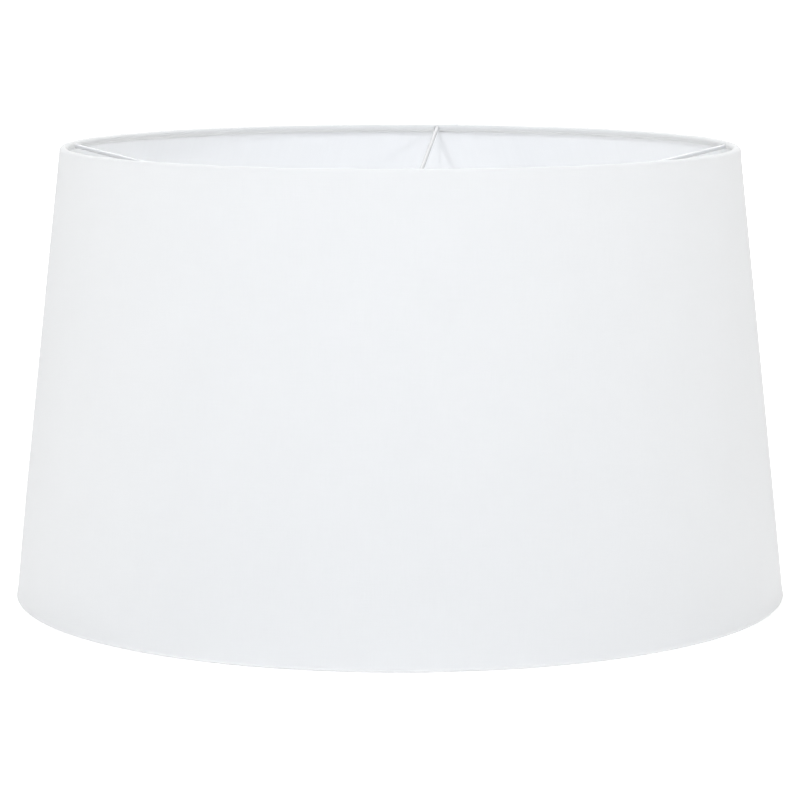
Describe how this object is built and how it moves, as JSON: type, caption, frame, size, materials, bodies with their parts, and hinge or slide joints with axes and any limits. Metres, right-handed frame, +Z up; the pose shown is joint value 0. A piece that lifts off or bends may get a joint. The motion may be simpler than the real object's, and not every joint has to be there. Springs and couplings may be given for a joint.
{
  "type": "lamp shade",
  "caption": "Tapered drum shade: laminated textile on a stiff panel, edges rolled over wire rings, with a recessed wire spider and a carrier ring for an E27 lampholder.",
  "frame": {"origin": "on the shade's axis, level with the lowest point of the bottom roll, on which it stands", "axes": "+Z up along the shade's axis, from the wide bottom opening to the narrow top opening; +Y towards the seam side, which is the back"},
  "size_m": [0.45, 0.45, 0.263],
  "materials": {
    "white_textile": "matte plain weave",
    "white_panel": "matte",
    "clear_tape": "matte",
    "white_wire": "satin powder coat",
    "white_pressing": "satin powder coat"
  },
  "bodies": {
    "root": {"fabric_cover": "white_textile", "backing_panel": "white_panel", "seam_tape": "clear_tape", "top_ring": "white_wire", "bottom_ring": "white_wire", "top_ring_tape": "clear_tape", "bottom_ring_tape": "clear_tape", "spider_arm_back": "white_wire", "spider_arm_left": "white_wire", "spider_arm_front": "white_wire", "spider_arm_right": "white_wire", "carrier_ring": "white_pressing", "arm_ring_welds": "white_wire", "arm_hub_welds": "white_wire"}
  },
  "joints": []
}
